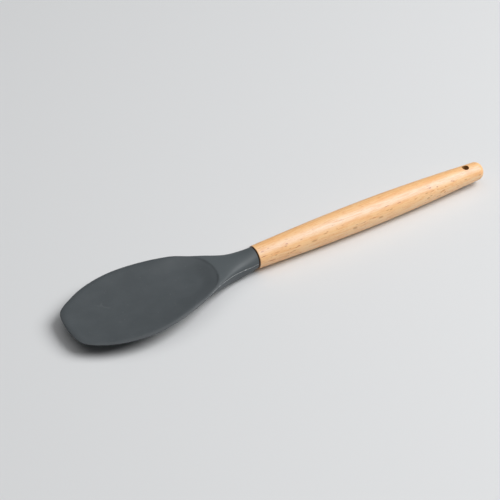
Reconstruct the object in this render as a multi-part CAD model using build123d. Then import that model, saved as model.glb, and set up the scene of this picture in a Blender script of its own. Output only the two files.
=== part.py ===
from build123d import *
from math import radians, sin, tan
import os

# A spoon spatula that lies on a table: a leaf-shaped silicone head moulded over a nylon
# core, whose stud is glued into a turned beech handle.
# All lengths are in millimetres and all angles in degrees. Values whose names end in
# share or shares are fractions of the size that they are multiplied by.
# While the pieces are made, x runs from the blade's tip to the end of the handle, y is
# across and z is up from the table. They are centred on the overall length at the end.

# Silicone head
head_length = 135.4
blade_width = 66.8
collar_diameter = 14.8
edge_thickness = 2.0
rim_rise = 4.9

# Dished face of the blade: the part of its width and of its crown's height at which the
# face ends, and its rounded rear end
dish_depth = 2.2
face_width_share = 0.94
face_rim_share = 0.55
face_end = 106.6
face_end_radius = 24.0
face_flank_angle = 40.0
face_toe_radius = 3.0

# Beech handle
handle_length = 185.9
belly_diameter = 19.3
end_diameter = 12.8
front_rounding = 0.6
end_rounding = 5.0
hanging_hole_diameter = 5.0
hanging_hole_inset = 14.0

# Nylon core inside the head, with holes that the silicone locks through
skin_thickness = 1.9
lock_hole_diameter = 5.0
lock_hole_inset = 8.0
lock_hole_pitch = 12.0
lock_hole_count = 3
oval_pull_share = 4 / 3

# Joint between head and handle: the core's flange, its glued stud and the handle's bore
joint_gap = 0.7
flange_diameter = 12.8
stud_diameter = 9.0
stud_flats_width = 8.2
stud_length = 40.0
stud_chamfer = 1.0
groove_width = 1.6
groove_depth = 0.6
groove_inset = 6.0
groove_pitch = 8.0
groove_count = 4
glue_gap = 0.25
bore_spare_depth = 2.0

# How far a cutting shape runs past what it cuts
overrun = 5.0

# The handle's belly rests on the table, so its radius is the height of the common axis.
axis_height = belly_diameter / 2
blade_half_width = blade_width / 2
collar_radius = collar_diameter / 2
half_edge = edge_thickness / 2
bore_diameter = stud_diameter + 2 * glue_gap
bore_depth = stud_length + bore_spare_depth
wood_start = head_length + joint_gap
overall_length = wood_start + handle_length

# Sections of the head, square to x, from the tip to the collar. The columns are
# station  place along the head, of its length
# width    half width, of the blade's half width
# neck     how far width and crown have turned into the collar's circle
# rise     height of the parting line above the axis, of rim_rise
# edge     crown above the parting line, in half edge thicknesses
# side     how far the side rises straight up above the parting line
# level    how far the crown stays level towards the side
# keel     depth below the parting line, from half the edge (0) down to the table (1)
# round    how far the depth has turned into the collar's circle
# wall     how far the side drops straight down below the parting line
# flat     how far the keel stays level towards the side
# dish     depth of the face's middle below its rim, of dish_depth; none behind the face
# core     half width of the core, of the room inside the skin; 0 where it has none
# Quarters of a section whose two shares are round_share are quarters of a circle.
round_share = 0.5523
head_section_shares = [
    (0.0000, 0.102, 0.00, 0.16, 0.44, 0.55, 0.80, 0.000, 0.00, 0.55, 0.80, None, 0.00),
    (0.0030, 0.210, 0.00, 0.16, 0.80, 0.55, 0.88, 0.000, 0.00, 0.55, 0.88, None, 0.00),
    (0.0074, 0.329, 0.00, 0.16, 1.00, 0.55, 0.92, 0.000, 0.00, 0.55, 0.92, None, 0.00),
    (0.0133, 0.419, 0.00, 0.16, 1.05, 0.55, 0.93, 0.000, 0.00, 0.55, 0.93, None, 0.00),
    (0.0222, 0.494, 0.00, 0.16, 1.08, 0.55, 0.94, 0.002, 0.00, 0.55, 0.93, None, 0.00),
    (0.0341, 0.554, 0.00, 0.16, 1.10, 0.55, 0.95, 0.005, 0.00, 0.55, 0.92, 0.03, 0.00),
    (0.0519, 0.617, 0.00, 0.16, 1.10, 0.55, 0.95, 0.021, 0.00, 0.55, 0.90, 0.18, 0.00),
    (0.0778, 0.686, 0.00, 0.16, 1.10, 0.55, 0.95, 0.053, 0.00, 0.50, 0.86, 0.35, 0.00),
    (0.1185, 0.781, 0.00, 0.20, 1.10, 0.55, 0.95, 0.115, 0.00, 0.45, 0.78, 0.57, 0.00),
    (0.1780, 0.886, 0.00, 0.29, 1.10, 0.55, 0.95, 0.222, 0.00, 0.38, 0.66, 0.79, 0.00),
    (0.2520, 0.964, 0.00, 0.39, 1.10, 0.55, 0.95, 0.344, 0.00, 0.33, 0.55, 0.93, 0.00),
    (0.3260, 1.000, 0.00, 0.49, 1.10, 0.55, 0.95, 0.465, 0.00, 0.30, 0.48, 1.00, 0.00),
    (0.4150, 0.979, 0.00, 0.65, 1.10, 0.55, 0.95, 0.596, 0.00, 0.28, 0.44, 1.00, 0.34),
    (0.5040, 0.907, 0.00, 0.86, 1.10, 0.55, 0.95, 0.706, 0.00, 0.29, 0.44, 1.00, 0.42),
    (0.5850, 0.810, 0.00, 1.02, 1.12, 0.55, 0.95, 0.800, 0.00, 0.32, 0.46, 0.98, 0.47),
    (0.6590, 0.680, 0.00, 1.02, 1.15, 0.58, 0.95, 0.890, 0.00, 0.31, 0.48, 0.85, 0.52),
    (0.7190, 0.537, 0.05, 0.91, 1.03, 0.64, 0.94, 0.980, 0.00, 0.45, 0.53, 0.43, 0.58),
    (0.7780, 0.408, 0.15, 0.76, 0.95, 0.70, 0.92, 0.991, 0.00, 0.54, 0.59, -0.31, 0.68),
    (0.8370, 0.259, 0.35, 0.46, 1.25, 0.65, 0.82, 0.989, 0.00, 0.58, 0.64, -1.56, 0.80),
    (0.8960, 0.148, 0.55, 0.20, 1.50, 0.60, 0.70, 1.000, 0.06, 0.62, 0.68, None, 0.92),
    (0.9550, 0.067, 0.78, 0.06, 1.05, 0.57, 0.62, 1.000, 0.37, 0.60, 0.64, None, 0.98),
    (1.0, 0.0, 1.0, 0.0, 1.0, round_share, round_share, 1.0, 1.0, round_share, round_share, None, 1.0),
]

# Radius of the turned handle at places along it, of its length and of its belly's radius
handle_profile_shares = [
    (0.000, 0.822),
    (0.075, 0.868),
    (0.170, 0.921),
    (0.290, 0.977),
    (0.430, 1.000),
    (0.550, 0.986),
    (0.680, 0.924),
    (0.800, 0.840),
    (0.900, 0.745),
]


def mix(start, end, share):
    """The value that lies a share of the way from start to end."""
    return start + (end - start) * share


class Section:
    """Real sizes of one row of the head's table."""

    def __init__(self, row):
        station, width, neck, rise, edge, side, level, keel, round_off, wall, flat, dish, core = row
        self.x = station * head_length
        self.half_width = width * blade_half_width + neck * collar_radius
        self.height = axis_height + rise * rim_rise
        self.crown = mix(edge * half_edge, collar_radius, neck)
        self.depth = mix(mix(edge * half_edge, self.height, keel), collar_radius, round_off)
        self.top_shares = (side, level)
        self.low_shares = (wall, flat)
        self.has_core = core > 0
        self.in_dish = dish is not None
        self.face_half_width = face_width_share * self.half_width
        self.rim = self.height + face_rim_share * self.crown
        self.floor = self.rim - dish * dish_depth if self.in_dish else None
        self.top = self.floor if self.in_dish and self.x < face_end else self.height + self.crown
        self.bottom = self.height - self.depth
        self.core_half_width = core * (self.half_width - skin_thickness)
        self.core_half_height = (self.top - self.bottom) / 2 - skin_thickness
        self.core_height = (self.top + self.bottom) / 2


sections = [Section(row) for row in head_section_shares]


def oval_wire(x, height, half_width, crown, depth, top_shares, low_shares):
    """Closed section of four cubic curves that meet at the sides and in the middle."""
    quarters = []
    for side, up in ((1, 1), (-1, 1), (-1, -1), (1, -1)):
        reach = crown if up > 0 else depth
        side_share, level_share = top_shares if up > 0 else low_shares
        points = [
            (x, side * half_width, height),
            (x, side * half_width, height + up * side_share * reach),
            (x, side * level_share * half_width, height + up * reach),
            (x, 0, height + up * reach),
        ]
        quarters.append(points if side == up else points[::-1])
    return Wire([Edge.make_bezier(*points) for points in quarters])


def head_envelope():
    """The outside of the head before its face is dished."""
    wires = []
    for part in sections:
        sizes = (part.half_width, part.crown, part.depth)
        wires.append(oval_wire(part.x, part.height, *sizes, part.top_shares, part.low_shares))
    return Solid.make_loft(wires)


def trough_wire(x, part):
    """Section of the space above the face: a shallow trough under a level lid."""
    reach = part.half_width + overrun
    side = part.floor + (part.rim - part.floor) * (reach / part.face_half_width) ** 2
    lid = axis_height + blade_width
    left, right = (x, reach, side), (x, -reach, side)
    trough = Edge.make_bezier(left, (x, 0, 2 * part.floor - side), right)
    frame = Wire.make_polygon([right, (x, -reach, lid), (x, reach, lid), left], close=False)
    return Wire([trough] + list(frame.edges()))


def dish_tool():
    """What is cut from the envelope to leave the dished face and its rounded rear end."""
    dished = [part for part in sections if part.in_dish]
    wires = [trough_wire(-overrun, dished[0])]
    wires += [trough_wire(part.x, part) for part in dished]
    trough = Solid.make_loft(wires)
    reach = blade_half_width + overrun
    slope = radians(face_flank_angle)
    apex = face_end + face_end_radius * (1 / sin(slope) - 1)
    shoulder = apex - reach / tan(slope)
    front = -2 * overrun
    corners = [(front, -reach), (shoulder, -reach), (apex, 0), (shoulder, reach), (front, reach)]
    outline = make_face(Polyline(corners, close=True))
    outline = fillet(outline.vertices().sort_by(Axis.X)[-1], face_end_radius)
    tool = trough & extrude(outline, amount=2 * blade_width)
    toe = []
    for edge in tool.edges():
        box = edge.bounding_box()
        low = box.max.Z < axis_height + blade_half_width
        if low and box.max.X > shoulder + overrun and box.size.Y > overrun:
            toe.append(edge)
    return fillet(toe, face_toe_radius)


def rod(start, length, diameter):
    """A round bar along the common axis, from a place along it."""
    return extrude(Plane.YZ.offset(start) * Pos(0, axis_height) * Circle(diameter / 2), amount=length)


def tongue_wire(part):
    """Closed oval section of the core, inside one section of the head."""
    halves = []
    for side in (1, -1):
        across = side * part.core_half_width
        height = part.core_height
        reach = height + side * oval_pull_share * part.core_half_height
        corners = ((across, height), (across, reach), (-across, reach), (-across, height))
        halves.append(Edge.make_bezier(*[(part.x, y, z) for y, z in corners]))
    return Wire(halves)


def nylon_core():
    """Tongue with lock holes, neck, flange and grooved stud, moulded in one piece."""
    wires = [tongue_wire(part) for part in sections if part.has_core]
    tongue = Solid.make_loft(wires, ruled=True)
    start = min(part.x for part in sections if part.has_core)
    for number in range(lock_hole_count):
        x = start + lock_hole_inset + number * lock_hole_pitch
        tongue -= Pos(x, 0) * extrude(Circle(lock_hole_diameter / 2), amount=2 * axis_height)
    flange = rod(head_length, joint_gap, flange_diameter)
    stud = rod(wood_start, stud_length, stud_diameter)
    stud = chamfer(stud.edges().sort_by(Axis.X)[-1], stud_chamfer)
    middle = Pos(wood_start + stud_length / 2, 0, axis_height)
    stud &= middle * Box(stud_length, stud_flats_width, stud_diameter)
    for number in range(groove_count):
        x = wood_start + groove_inset + number * groove_pitch
        root = rod(x, groove_width, stud_diameter - 2 * groove_depth)
        stud -= rod(x, groove_width, stud_diameter) - root
    return tongue + flange + stud


def silicone_head(core):
    """Skin that is moulded over the core, with plugs of silicone through its lock holes."""
    return head_envelope() - dish_tool() - core


def beech_handle():
    """Turned handle with a blind bore for the stud and a hole across it to hang it by."""
    points = []
    for place_share, radius_share in handle_profile_shares:
        radius = radius_share * belly_diameter / 2
        points.append((wood_start + place_share * handle_length, axis_height + radius))
    points.append((overall_length, axis_height + end_diameter / 2))
    centre = [(overall_length, axis_height), (wood_start, axis_height)]
    profile = Spline(points) + Polyline([points[-1], *centre, points[0]])
    wood = revolve(make_face(Plane.XZ * profile), Axis((0, 0, axis_height), (1, 0, 0)))
    wood = fillet(wood.edges().sort_by(Axis.X)[0], front_rounding)
    wood = fillet(wood.edges().sort_by(Axis.X)[-1], end_rounding)
    wood -= rod(wood_start, bore_depth, bore_diameter)
    hole_x = overall_length - hanging_hole_inset
    wood -= Pos(hole_x, 0) * extrude(Circle(hanging_hole_diameter / 2), amount=belly_diameter)
    return wood


def stud_adhesive(core):
    """Cured glue that fills the gap between the stud and the bore."""
    return rod(wood_start, stud_length, bore_diameter) - core


core = nylon_core()
pieces = {
    "silicone_head": silicone_head(core),
    "nylon_core": core,
    "beech_handle": beech_handle(),
    "stud_adhesive": stud_adhesive(core),
}

os.makedirs("parts", exist_ok=True)
for name, piece in pieces.items():
    export_step(Pos(-overall_length / 2, 0) * piece, f"parts/{name}.step")
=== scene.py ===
from math import cos, hypot, pi, radians, sin, tan

import bmesh
import bpy
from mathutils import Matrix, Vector
from mathutils.bvhtree import BVHTree
from mathutils.kdtree import KDTree

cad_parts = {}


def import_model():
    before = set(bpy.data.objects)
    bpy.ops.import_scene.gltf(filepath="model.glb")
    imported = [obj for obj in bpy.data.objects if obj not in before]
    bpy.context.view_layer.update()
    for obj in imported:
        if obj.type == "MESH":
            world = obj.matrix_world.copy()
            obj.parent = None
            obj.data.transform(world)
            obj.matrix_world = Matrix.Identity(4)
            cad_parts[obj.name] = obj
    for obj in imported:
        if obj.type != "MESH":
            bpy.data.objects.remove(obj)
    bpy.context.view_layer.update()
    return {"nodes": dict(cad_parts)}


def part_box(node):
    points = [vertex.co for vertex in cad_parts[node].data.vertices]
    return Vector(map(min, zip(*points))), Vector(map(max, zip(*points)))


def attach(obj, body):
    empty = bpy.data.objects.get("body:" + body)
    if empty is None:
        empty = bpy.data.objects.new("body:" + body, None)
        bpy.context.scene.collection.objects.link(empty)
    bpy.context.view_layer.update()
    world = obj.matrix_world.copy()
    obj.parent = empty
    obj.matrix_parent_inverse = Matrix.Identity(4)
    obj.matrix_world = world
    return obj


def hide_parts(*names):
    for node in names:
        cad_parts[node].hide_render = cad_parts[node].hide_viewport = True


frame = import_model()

# A silicone spoon spatula with a beech handle on a plain pale floor.
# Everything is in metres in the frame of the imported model: x from the blade's tip to the
# hanging end, y across the blade, z up from the floor.

MM = 0.001

# Camera
VIEW_AZIMUTH = radians(-31.09)
VIEW_ELEVATION = radians(40)
VIEW_ANGLE = radians(18)
VIEW_TARGET = Vector((-17.2, 18.3, -0.5)) * MM
VIEW_DISTANCE = 1057.7 * MM
SENSOR_WIDTH = 36

# Floor, world and two round soft lights. A light's turn counts from x towards y, and its
# spread is half the angle that it fills as seen from the spatula.
FLOOR_SIZE = 6
FLOOR_COLOUR = (0.712, 0.7215, 0.731, 1)
BACKDROP_COLOUR = (0.97, 0.985, 1, 1)
BACKDROP_LEVEL = 0.37
WORLD_LEVEL = 0.042
LIGHT_DISTANCE = 2.4
KEY_TURN = radians(-31)
KEY_ELEVATION = radians(50)
KEY_SPREAD = radians(21)
KEY_POWER = 59.4
TOP_TURN = radians(149)
TOP_ELEVATION = radians(85)
TOP_SPREAD = radians(36)
TOP_POWER = 21.2

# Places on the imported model
head_low, head_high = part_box("silicone_head")
wood_low, wood_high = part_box("beech_handle")
AXIS_HEIGHT = (wood_low.z + wood_high.z) / 2
BELLY_RADIUS = (wood_high.z - wood_low.z) / 2
HOLE_INSET = 14 * MM
HOLE_RADIUS = 2.5 * MM

# Softer top of the blade: the dish gets deeper ahead of its rear edge, an arc across the
# head's root, and the rim rolls down towards its outer edge, by no more than RIM_SQUEEZE of
# the blade's thickness there. Before that, edges over FACET_LENGTH are halved, FACET_PASSES
# times, around each face whose normal points up by more than TOP_SIDE, or than RIM_SIDE on
# the rim, which begins RIM_INSIDE from the middle.
DISH_ROUND = 24 * MM
DISH_CENTRE = head_low.x + 81.2 * MM
DISH_EXTRA_DEPTH = 1.6 * MM
DISH_SLOPE_LENGTH = 12 * MM
DISH_FADE_START = head_low.x + 50 * MM
DISH_FADE_END = head_low.x + 88 * MM
RIM_DROP = 0.8 * MM
RIM_SQUEEZE = 0.5
RIM_WIDTH = 4 * MM
RIM_INSIDE = 16 * MM
RIM_FADE_START = head_low.x + 78 * MM
RIM_FADE_END = head_low.x + 90 * MM
TIP_HALF_WIDTH = 14 * MM
BLADE_CENTRE = Vector((head_low.x + 60 * MM, 0, 0))
INWARD_STEP = 0.6 * MM
TOP_SIDE = 0.3
RIM_SIDE = -0.5
FACET_LENGTH = 1.2 * MM
FACET_PASSES = 3
WELD = 0.002 * MM
EDGE_STEP = 0.1 * MM
CREASE_ANGLE = radians(28)

# Raised line that the mould's halves leave along both sides of the neck. It starts with
# LINE_THINNEST of its radius and has all of it after LINE_TAPER.
LINE_RADIUS = 0.15 * MM
LINE_LENGTH = 50 * MM
LINE_END_GAP = 0.6 * MM
LINE_TAPER = 9 * MM
LINE_STEPS = 56
LINE_SIDES = 8
LINE_SMOOTHING = 3
LINE_THINNEST = 0.1
# Painted glint on the mould line: how far it sits from the head's end, its half length and where
# it has faded out
GLINT_INSET = 11 * MM
GLINT_HALF_LENGTH = 0.3 * MM
GLINT_FADE_END = 0.7 * MM

# Rays that find the head's outline and the handle's surface
PROBE_STEP = 0.2 * MM
PROBE_REACH = 50 * MM

# Colours, in linear light
SILICONE_DARK = (0.0545, 0.064, 0.07, 1)
SILICONE_LIGHT = (0.063, 0.073, 0.0795, 1)
# Painted light: the neck behind the dish's rear arc is made this much lighter than the dish
SILICONE_NECK_PAINTED_LIGHT = (0.071, 0.0835, 0.09, 1)
SILICONE_TOOTH = (0.084, 0.094, 0.1, 1)
SCUFF_COLOUR = (0.15, 0.16, 0.165, 1)
DUST_COLOUR = (0.18, 0.19, 0.195, 1)
LINE_DARK = (0.17, 0.18, 0.185, 1)
LINE_LIGHT = (0.38, 0.4, 0.41, 1)
# Painted glint, almost white, on the mould line
GLINT_COLOUR = (0.9, 0.92, 0.93, 1)
NYLON_DARK = (0.025, 0.011, 0.004, 1)
NYLON_LIGHT = (0.04, 0.018, 0.007, 1)
ADHESIVE_DARK = (0.5, 0.38, 0.18, 1)
ADHESIVE_LIGHT = (0.62, 0.5, 0.27, 1)
WOOD_WARM = (1, 0.575, 0.24, 1)
WOOD_PALE = (1, 0.65, 0.325, 1)
WOOD_RING = (0.96, 0.47, 0.15, 1)
WOOD_STREAK = (0.92, 0.45, 0.15, 1)
WOOD_PORE = (0.78, 0.3, 0.07, 1)
WOOD_DASH = (0.55, 0.14, 0.02, 1)
WOOD_FLECK = (0.56, 0.21, 0.03, 1)
# Painted shade in the joint at the wood's front edge
WOOD_JOINT_SHADE = (0.2, 0.07, 0.015, 1)
# Painted shade inside the hanging hole
WOOD_BORE_SHADE = (0.38, 0.17, 0.03, 1)
WOOD_SHEEN_TINT = (0.2, 0.65, 1, 1)

# Scale of each pattern, in features per metre, the same all round or one for each axis
SILICONE_CLOUDS = 90
SILICONE_GRAIN = 2600
SCUFF_HAIRS = 38
SCUFF_PATCHES = 55
DUST_CELLS = 210
LINE_WEAR = 900
NYLON_GRAIN = 1500
ADHESIVE_CLOUDS = 400
WOOD_TONES = (14, 90, 90)
WOOD_STREAKS = (80, 750, 750)
WOOD_PORES = (330, 2400, 2400)
WOOD_DASHES = (210, 900, 900)
WOOD_DASHES_SHIFT = (3, 5, 7)
WOOD_WANDER = (9, 60, 60)

# Other sizes of the finishes: rings lie across RING_SLANT and wander up and down by a share of
# RING_WANDER, and the dark ring at the wood's front edge is painted shade in the joint
RING_SLANT = (0.02, 0.15, 1)
RING_SPACING = 2.4 * MM
RING_WANDER = 4 * MM
JOINT_SHADE_LENGTH = 0.3 * MM
FLECK_RAGGEDNESS = 0.9
NECK_BLEND = 1.5 * MM
SILICONE_TOOTH_HEIGHT = 0.06 * MM
LINE_WEAR_HEIGHT = 0.05 * MM
NYLON_TOOTH_HEIGHT = 0.04 * MM
ADHESIVE_RIPPLE_HEIGHT = 0.05 * MM
PORE_DEPTH = 0.05 * MM
STREAK_HEIGHT = 0.04 * MM
SILICONE_IOR = 1.43
WOOD_IOR = 1.62

# Brown ray flecks that stand out on the side of the handle: distance from its front end in
# mm, turn about its axis from the top towards -y in degrees, length and width in mm
FLECKS = (
    (8.0, 30, 1.6, 0.6),
    (12.0, 72, 1.8, 0.7),
    (20.2, 50, 2.2, 0.8),
    (21.0, 86, 1.4, 0.8),
    (25.4, 84, 3.6, 0.8),
    (27.3, 72, 1.8, 0.7),
    (32.3, 47, 2.2, 0.6),
    (41.3, 73, 4.4, 1.1),
    (50.4, 60, 3.2, 0.7),
    (73.3, 85, 3.6, 1.9),
    (94.3, 82, 3.8, 1.4),
    (103.1, 66, 2.6, 0.8),
    (100.2, 64, 3.0, 0.5),
    (133.5, 59, 2.6, 0.8),
    (134.6, 85, 2.6, 1.2),
    (137.1, 79, 2.0, 0.9),
    (145.8, 82, 2.0, 0.9),
    (147.8, 78, 2.8, 1.1),
    (148.9, 91, 1.6, 1.0),
    (149.9, 63, 1.8, 0.7),
    (167.7, 70, 2.8, 0.9),
)


class Shader:
    """Builds one node material."""

    def __init__(self, name):
        self.material = bpy.data.materials.new(name)
        self.material.use_nodes = True
        self.tree = self.material.node_tree
        self.tree.nodes.clear()
        self.place = self.add("ShaderNodeTexCoord").outputs["Object"]

    def add(self, kind, inputs=None, **attributes):
        """A node whose inputs are set to constants or linked to sockets."""
        made = self.tree.nodes.new(kind)
        for name, value in attributes.items():
            setattr(made, name, value)
        for key, value in (inputs or {}).items():
            if isinstance(value, bpy.types.NodeSocket):
                self.tree.links.new(value, made.inputs[key])
            else:
                made.inputs[key].default_value = value
        return made

    def stretched(self, stretch, shift=(0, 0, 0)):
        """Place on the object, scaled by its own factor along each axis and moved."""
        values = {"Vector": self.place, "Scale": stretch, "Location": shift}
        return self.add("ShaderNodeMapping", values).outputs[0]

    def noise(self, scale, detail=3, roughness=0.5, place=None, distortion=0):
        """Fractal noise about a half."""
        values = {"Vector": place or self.place, "Scale": scale, "Detail": detail}
        values.update({"Roughness": roughness, "Distortion": distortion})
        return self.add("ShaderNodeTexNoise", values).outputs[0]

    def ramp(self, value, low, high, out_low=0, out_high=1):
        """Value carried smoothly from one range to another."""
        values = {"Value": value, "From Min": low, "From Max": high}
        values.update({"To Min": out_low, "To Max": out_high})
        return self.add("ShaderNodeMapRange", values, interpolation_type="SMOOTHSTEP").outputs[0]

    def math(self, operation, first, second=0):
        """One or two values put together."""
        return self.add("ShaderNodeMath", {0: first, 1: second}, operation=operation).outputs[0]

    def vector(self, operation, first, second=(0, 0, 0)):
        """Two vectors put together into a vector or, by dot product and length, a value."""
        made = self.add("ShaderNodeVectorMath", {0: first, 1: second}, operation=operation)
        return made.outputs["Value" if operation in ("DOT_PRODUCT", "LENGTH") else "Vector"]

    def away(self, centre, stretch):
        """Distance from a point, counted in its own unit along each axis."""
        offset = self.vector("SUBTRACT", self.place, centre)
        return self.vector("LENGTH", self.vector("MULTIPLY", offset, stretch))

    def mix(self, share, first, second):
        """Two colours mixed by the second one's share."""
        values = {0: share, 6: first, 7: second}
        return self.add("ShaderNodeMix", values, data_type="RGBA").outputs[2]

    def bump(self, height, distance, strength, normal=None):
        """Normal of a surface raised by a height."""
        values = {"Height": height, "Distance": distance, "Strength": strength}
        if normal:
            values["Normal"] = normal
        return self.add("ShaderNodeBump", values).outputs[0]

    def finish(self, inputs):
        """The principled surface, with constants set on its own sockets."""
        surface = self.add("ShaderNodeBsdfPrincipled", inputs)
        self.add("ShaderNodeOutputMaterial", {"Surface": surface.outputs[0]})
        return self.material


def silicone_material():
    """Matte dark grey silicone with faint clouding, fine tooth, scuffs and a few specks of dust.

    Behind the dish's rear arc it is a little lighter: painted light on the neck.
    """
    shader = Shader("grey_silicone")
    clouds = shader.noise(SILICONE_CLOUDS, detail=4, roughness=0.6)
    tooth = shader.noise(SILICONE_GRAIN, detail=2)
    colour = shader.mix(shader.ramp(clouds, 0.3, 0.7), SILICONE_DARK, SILICONE_LIGHT)
    # Painted light: a lighter colour on the neck behind the dish's rear arc
    from_centre = shader.away(Vector((DISH_CENTRE, 0, 0)), (1, 1, 0))
    root = shader.ramp(from_centre, DISH_ROUND, DISH_ROUND + NECK_BLEND)
    along = shader.vector("DOT_PRODUCT", shader.place, (1, 0, 0))
    behind = shader.ramp(along, DISH_CENTRE, DISH_CENTRE + DISH_ROUND / 2)
    root = shader.math("MULTIPLY", root, behind)
    colour = shader.mix(root, colour, SILICONE_NECK_PAINTED_LIGHT)
    colour = shader.mix(shader.ramp(tooth, 0.45, 0.8, 0, 0.3), colour, SILICONE_TOOTH)
    hairs = shader.noise(SCUFF_HAIRS, detail=1)
    hairs = shader.math("ABSOLUTE", shader.math("SUBTRACT", hairs, 0.5))
    patches = shader.ramp(shader.noise(SCUFF_PATCHES, detail=1), 0.6, 0.7)
    scuffs = shader.math("MULTIPLY", shader.ramp(hairs, 0.001, 0.005, 1, 0), patches)
    colour = shader.mix(shader.math("MULTIPLY", scuffs, 0.3), colour, SCUFF_COLOUR)
    cells = shader.add("ShaderNodeTexVoronoi", {"Vector": shader.place, "Scale": DUST_CELLS})
    specks = shader.ramp(cells.outputs["Distance"], 0.035, 0.075, 1, 0)
    colour = shader.mix(shader.math("MULTIPLY", specks, 0.35), colour, DUST_COLOUR)
    roughness = shader.ramp(clouds, 0.2, 0.8, 0.5, 0.6)
    normal = shader.bump(tooth, SILICONE_TOOTH_HEIGHT, 0.6)
    look = {"Base Color": colour, "Roughness": roughness, "Normal": normal, "IOR": SILICONE_IOR}
    return shader.finish(look)


def line_material():
    """The same silicone, paler along the thin mould line, with a painted glint almost white at
    one place.
    """
    shader = Shader("pale_silicone")
    wear = shader.noise(LINE_WEAR, detail=3)
    colour = shader.mix(shader.ramp(wear, 0.35, 0.7), LINE_DARK, LINE_LIGHT)
    along = shader.vector("DOT_PRODUCT", shader.place, (1, 0, 0))
    # Painted glint: almost white over a short stretch of the mould line
    from_glint = shader.math("SUBTRACT", along, head_high.x - GLINT_INSET)
    from_glint = shader.math("ABSOLUTE", from_glint)
    glint = shader.ramp(from_glint, GLINT_HALF_LENGTH, GLINT_FADE_END, 1, 0)
    colour = shader.mix(glint, colour, GLINT_COLOUR)
    normal = shader.bump(wear, LINE_WEAR_HEIGHT, 0.5)
    look = {"Base Color": colour, "Roughness": 0.45, "Normal": normal, "IOR": SILICONE_IOR}
    return shader.finish(look)


def nylon_material():
    """Dark moulded nylon."""
    shader = Shader("dark_nylon")
    tooth = shader.noise(NYLON_GRAIN, detail=3)
    colour = shader.mix(shader.ramp(tooth, 0.3, 0.7), NYLON_DARK, NYLON_LIGHT)
    normal = shader.bump(tooth, NYLON_TOOTH_HEIGHT, 0.5)
    return shader.finish({"Base Color": colour, "Roughness": 0.55, "Normal": normal})


def adhesive_material():
    """Cured honey-coloured glue."""
    shader = Shader("cured_adhesive")
    clouds = shader.noise(ADHESIVE_CLOUDS, detail=3)
    colour = shader.mix(shader.ramp(clouds, 0.3, 0.7), ADHESIVE_DARK, ADHESIVE_LIGHT)
    normal = shader.bump(clouds, ADHESIVE_RIPPLE_HEIGHT, 0.5)
    return shader.finish({"Base Color": colour, "Roughness": 0.4, "Normal": normal})


def fleck_distance(shader, surface):
    """Distance to the nearest of the listed flecks, where 1 is a fleck's edge."""
    nearest = None
    for along, turn, length, width in FLECKS:
        outward = Vector((0, -sin(radians(turn)), cos(radians(turn))))
        axis = Vector((wood_low.x + along * MM, 0, AXIS_HEIGHT))
        centre = surface.ray_cast(axis + outward * PROBE_REACH, -outward)[0]
        stretch = (2 / (length * MM), 2 / (width * MM), 2 / (width * MM))
        found = shader.away(centre, stretch)
        nearest = shader.math("MINIMUM", nearest, found) if nearest else found
    return nearest


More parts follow.
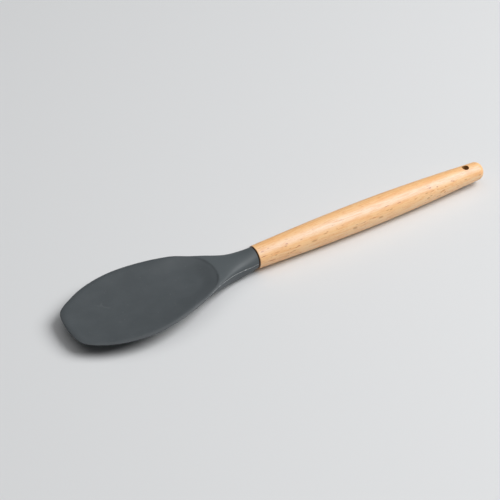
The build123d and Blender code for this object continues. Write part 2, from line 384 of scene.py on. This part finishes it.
def beech_material(surface):
    """Pale oiled beech: growth rings, soft streaks, fine pores and short brown ray flecks.

    Painted shade darkens the front edge, in the joint, and the bore of the hanging hole.
    """
    shader = Shader("oiled_beech")
    tones = shader.noise(1, detail=3, roughness=0.55, place=shader.stretched(WOOD_TONES))
    place = shader.stretched(WOOD_STREAKS)
    streaks = shader.noise(1, detail=4, roughness=0.65, place=place, distortion=0.5)
    pores = shader.noise(1, detail=2, roughness=0.6, place=shader.stretched(WOOD_PORES))
    place = shader.stretched(WOOD_DASHES, WOOD_DASHES_SHIFT)
    dashes = shader.noise(1, detail=1, place=place)
    wander = shader.noise(1, detail=2, place=shader.stretched(WOOD_WANDER))
    depth = shader.vector("DOT_PRODUCT", shader.place, RING_SLANT)
    depth = shader.math("ADD", depth, shader.math("MULTIPLY", wander, RING_WANDER))
    rings = shader.math("SINE", shader.math("MULTIPLY", depth, 2 * pi / RING_SPACING))
    colour = shader.mix(shader.ramp(tones, 0.3, 0.7), WOOD_WARM, WOOD_PALE)
    colour = shader.mix(shader.ramp(rings, 0.55, 1, 0, 0.35), colour, WOOD_RING)
    colour = shader.mix(shader.ramp(streaks, 0.46, 0.62, 0, 0.75), colour, WOOD_STREAK)
    colour = shader.mix(shader.ramp(pores, 0.55, 0.75, 0, 0.5), colour, WOOD_PORE)
    sideways = shader.vector("DOT_PRODUCT", shader.place, (0, 1 / BELLY_RADIUS, 0))
    sideways = shader.ramp(shader.math("ABSOLUTE", sideways), 0.2, 0.7, 0.3)
    dashes = shader.math("MULTIPLY", shader.ramp(dashes, 0.66, 0.76, 0, 0.8), sideways)
    colour = shader.mix(dashes, colour, WOOD_DASH)
    ragged = shader.math("MULTIPLY", streaks, FLECK_RAGGEDNESS)
    ragged = shader.math("ADD", fleck_distance(shader, surface), ragged)
    colour = shader.mix(shader.ramp(ragged, 0.95, 1.8, 0.65, 0), colour, WOOD_FLECK)
    along = shader.vector("DOT_PRODUCT", shader.place, (1, 0, 0))
    # Painted shade: dark ring on the wood's front edge where it meets the silicone
    joint_shaded = (wood_low.x + JOINT_SHADE_LENGTH / 3, wood_low.x + JOINT_SHADE_LENGTH)
    colour = shader.mix(shader.ramp(along, *joint_shaded, 0.85, 0), colour, WOOD_JOINT_SHADE)
    # Painted shade: the bore of the hanging hole is darkened
    hole = Vector((wood_high.x - HOLE_INSET, 0, 0))
    bore = shader.away(hole, (1 / HOLE_RADIUS, 1 / HOLE_RADIUS, 0))
    colour = shader.mix(shader.ramp(bore, 0.99, 1.06, 0.85, 0), colour, WOOD_BORE_SHADE)
    normal = shader.bump(pores, -PORE_DEPTH, 0.5)
    normal = shader.bump(streaks, STREAK_HEIGHT, 0.5, normal)
    roughness = shader.ramp(streaks, 0.3, 0.7, 0.47, 0.55)
    look = {"Base Color": colour, "Roughness": roughness, "Normal": normal, "IOR": WOOD_IOR}
    look.update({"Specular IOR Level": 1.0, "Specular Tint": WOOD_SHEEN_TINT})
    return shader.finish(look)


def floor_material():
    """Plain pale floor."""
    shader = Shader("pale_floor")
    return shader.finish({"Base Color": FLOOR_COLOUR, "Roughness": 0.75})


def dress(node, material):
    """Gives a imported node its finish."""
    piece = frame["nodes"][node]
    piece.data.materials.clear()
    piece.data.materials.append(material)


def smooth_share(value, low, high):
    """Share of the way from one value to another, eased at both ends."""
    share = min(max((value - low) / (high - low), 0), 1)
    return share * share * (3 - 2 * share)


def outermost(surface, start, toward):
    """First place on the head that a level ray meets, whatever its height."""
    best = None
    height = head_low.z
    while height < head_high.z:
        found = surface.ray_cast(Vector((start.x, start.y, height)), toward)[0]
        if found and (best is None or (found - best).dot(toward) < 0):
            best = found
        height += PROBE_STEP
    return best


def side_place(surface, x, side):
    """Widest place of the head on one side."""
    return outermost(surface, Vector((x, side * PROBE_REACH, 0)), Vector((0, -side, 0)))


def blade_edge(surface):
    """The outermost edge of the blade as seen from above, to find the nearest place on it."""
    places = []
    x = head_low.x + EDGE_STEP
    while x < RIM_FADE_END:
        places += [side_place(surface, x, side) for side in (-1, 1)]
        x += EDGE_STEP
    y = -TIP_HALF_WIDTH
    while y < TIP_HALF_WIDTH:
        start = Vector((head_low.x - PROBE_REACH, y, 0))
        places.append(outermost(surface, start, Vector((1, 0, 0))))
        y += EDGE_STEP
    tree = KDTree(len(places))
    for number, place in enumerate(places):
        tree.insert((place.x, place.y, 0), number)
    tree.balance()
    return tree


def dish_lowering(place):
    """How much deeper the dish is at a place."""
    inside = DISH_ROUND - hypot(max(place.x - DISH_CENTRE, 0), place.y)
    slope = smooth_share(inside, 0, DISH_SLOPE_LENGTH)
    return slope * smooth_share(place.x, DISH_FADE_START, DISH_FADE_END) * DISH_EXTRA_DEPTH


def rim_lowering(place, surface, edge):
    """How far the rim rolls down at a place: all of it on top, none of it underneath."""
    margin = edge.find((place.x, place.y, 0))[2]
    if margin > RIM_WIDTH or place.x > RIM_FADE_END:
        return 0
    inward = BLADE_CENTRE - Vector((place.x, place.y, 0))
    probe = Vector((place.x, place.y, 0)) + inward.normalized() * INWARD_STEP
    up = Vector((0, 0, 1))
    top = surface.ray_cast(probe + up * PROBE_REACH, -up)[0]
    bottom = surface.ray_cast(probe - up * PROBE_REACH, up)[0]
    if not top or not bottom:
        return 0
    thickness = top.z - bottom.z
    height = min(max((place.z - bottom.z) / thickness, 0), 1)
    roll = (1 - margin / RIM_WIDTH) ** 2
    roll *= 1 - smooth_share(place.x, RIM_FADE_START, RIM_FADE_END)
    return height * roll * min(RIM_DROP, RIM_SQUEEZE * thickness)


def may_move(face):
    """Whether a face of the head is on the blade's top or on its rim."""
    place = face.calc_center_median()
    on_side = place.x < RIM_FADE_END and abs(place.y) > RIM_INSIDE
    on_tip = place.x < head_low.x + RIM_WIDTH
    return face.normal.z > (RIM_SIDE if on_side or on_tip else TOP_SIDE)


def soft_head(surface, material):
    """The silicone head with its blade's top softened."""
    mesh = bmesh.new()
    mesh.from_mesh(frame["nodes"]["silicone_head"].data)
    bmesh.ops.remove_doubles(mesh, verts=mesh.verts, dist=WELD)
    for _ in range(FACET_PASSES):
        mesh.normal_update()
        long = [edge for edge in mesh.edges if edge.calc_length() > FACET_LENGTH]
        long = [edge for edge in long if any(may_move(face) for face in edge.link_faces)]
        options = {"cuts": 1, "use_grid_fill": True, "use_single_edge": True}
        bmesh.ops.subdivide_edges(mesh, edges=long, **options)
        bmesh.ops.triangulate(mesh, faces=mesh.faces)
        bmesh.ops.dissolve_degenerate(mesh, dist=WELD, edges=mesh.edges)
    mesh.normal_update()
    edge = blade_edge(surface)
    for vert in mesh.verts:
        drop = rim_lowering(vert.co, surface, edge)
        if vert.normal.z > TOP_SIDE and vert.co.z > AXIS_HEIGHT:
            drop += dish_lowering(vert.co)
        vert.co.z -= drop
    data = bpy.data.meshes.new("soft_head")
    mesh.to_mesh(data)
    mesh.free()
    data.shade_smooth()
    data.set_sharp_from_angle(angle=CREASE_ANGLE)
    data.materials.append(material)
    piece = bpy.data.objects.new("soft_head", data)
    bpy.context.scene.collection.objects.link(piece)
    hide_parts("silicone_head")
    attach(piece, "root")


def mould_line(surface, side, material):
    """Fine raised line along one side of the neck, laid on the widest places of the head."""
    end = head_high.x - LINE_END_GAP
    places = [end - LINE_LENGTH * (1 - step / LINE_STEPS) for step in range(LINE_STEPS + 1)]
    heights = [side_place(surface, x, side).z for x in places]
    route = []
    for step, x in enumerate(places):
        near = heights[max(step - LINE_SMOOTHING, 0):step + LINE_SMOOTHING + 1]
        start = Vector((x, side * PROBE_REACH, sum(near) / len(near)))
        route.append(surface.ray_cast(start, Vector((0, -side, 0)))[0])
    mesh = bmesh.new()
    rings = []
    for step, centre in enumerate(route):
        along = (route[min(step + 1, LINE_STEPS)] - route[max(step - 1, 0)]).normalized()
        across = along.cross(Vector((0, 0, 1))).normalized()
        upward = across.cross(along)
        radius = LINE_RADIUS * min(1, (centre.x - route[0].x) / LINE_TAPER + LINE_THINNEST)
        turns = [2 * pi * corner / LINE_SIDES for corner in range(LINE_SIDES)]
        spokes = [across * cos(turn) + upward * sin(turn) for turn in turns]
        rings.append([mesh.verts.new(centre + spoke * radius) for spoke in spokes])
    for first, second in zip(rings, rings[1:]):
        for corner in range(LINE_SIDES):
            after = (corner + 1) % LINE_SIDES
            mesh.faces.new((first[corner], first[after], second[after], second[corner]))
    mesh.faces.new(rings[0][::-1])
    mesh.faces.new(rings[-1])
    bmesh.ops.recalc_face_normals(mesh, faces=mesh.faces)
    name = "mould_line_left" if side < 0 else "mould_line_right"
    data = bpy.data.meshes.new(name)
    mesh.to_mesh(data)
    mesh.free()
    data.shade_smooth()
    data.materials.append(material)
    piece = bpy.data.objects.new(name, data)
    bpy.context.scene.collection.objects.link(piece)
    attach(piece, "root")


def floor():
    """Large pale floor that the spatula lies on."""
    bpy.ops.mesh.primitive_plane_add(size=FLOOR_SIZE)
    ground = bpy.context.object
    ground.name = "floor"
    ground.data.materials.append(floor_material())


def camera():
    """Camera at the photograph's viewing angle."""
    made = bpy.data.objects.new("camera", bpy.data.cameras.new("camera"))
    bpy.context.scene.collection.objects.link(made)
    made.data.sensor_width = SENSOR_WIDTH
    made.data.lens = SENSOR_WIDTH / 2 / tan(VIEW_ANGLE / 2)
    reach = cos(VIEW_ELEVATION)
    back = Vector((sin(VIEW_AZIMUTH) * reach, -cos(VIEW_AZIMUTH) * reach, sin(VIEW_ELEVATION)))
    made.location = VIEW_TARGET + back * VIEW_DISTANCE
    made.rotation_mode = "QUATERNION"
    made.rotation_quaternion = back.to_track_quat("Z", "Y")
    bpy.context.scene.camera = made


def soft_light(name, turn, elevation, spread, power):
    """A round soft light that faces the spatula."""
    lamp = bpy.data.lights.new(name, "AREA")
    lamp.shape = "DISK"
    lamp.size = 2 * LIGHT_DISTANCE * tan(spread)
    lamp.energy = power
    made = bpy.data.objects.new(name, lamp)
    bpy.context.scene.collection.objects.link(made)
    reach = cos(elevation)
    toward = Vector((cos(turn) * reach, sin(turn) * reach, sin(elevation)))
    made.location = toward * LIGHT_DISTANCE
    made.rotation_mode = "QUATERNION"
    made.rotation_quaternion = toward.to_track_quat("Z", "Y")


def world():
    """A dim even world that the camera and reflections see as a pale backdrop."""
    made = bpy.data.worlds.new("world")
    made.use_nodes = True
    nodes = made.node_tree.nodes
    links = made.node_tree.links
    path = nodes.new("ShaderNodeLightPath")
    seen = path.outputs["Is Camera Ray"]
    for ray in ("Is Glossy Ray", "Is Transmission Ray"):
        either = nodes.new("ShaderNodeMath")
        either.operation = "MAXIMUM"
        links.new(seen, either.inputs[0])
        links.new(path.outputs[ray], either.inputs[1])
        seen = either.outputs[0]
    level = nodes.new("ShaderNodeMapRange")
    links.new(seen, level.inputs["Value"])
    level.inputs["To Min"].default_value = WORLD_LEVEL
    level.inputs["To Max"].default_value = BACKDROP_LEVEL
    links.new(level.outputs[0], nodes["Background"].inputs["Strength"])
    nodes["Background"].inputs["Color"].default_value = BACKDROP_COLOUR
    bpy.context.scene.world = made


bpy.context.scene.view_settings.view_transform = "Standard"
silicone = silicone_material()
dress("silicone_head", silicone)
dress("nylon_core", nylon_material())
surroundings = bpy.context.evaluated_depsgraph_get()
handle_surface = BVHTree.FromObject(frame["nodes"]["beech_handle"], surroundings)
dress("beech_handle", beech_material(handle_surface))
dress("stud_adhesive", adhesive_material())
head_surface = BVHTree.FromObject(frame["nodes"]["silicone_head"], surroundings)
soft_head(head_surface, silicone)
pale = line_material()
for side in (-1, 1):
    mould_line(head_surface, side, pale)
floor()
camera()
soft_light("key", KEY_TURN, KEY_ELEVATION, KEY_SPREAD, KEY_POWER)
soft_light("top", TOP_TURN, TOP_ELEVATION, TOP_SPREAD, TOP_POWER)
world()
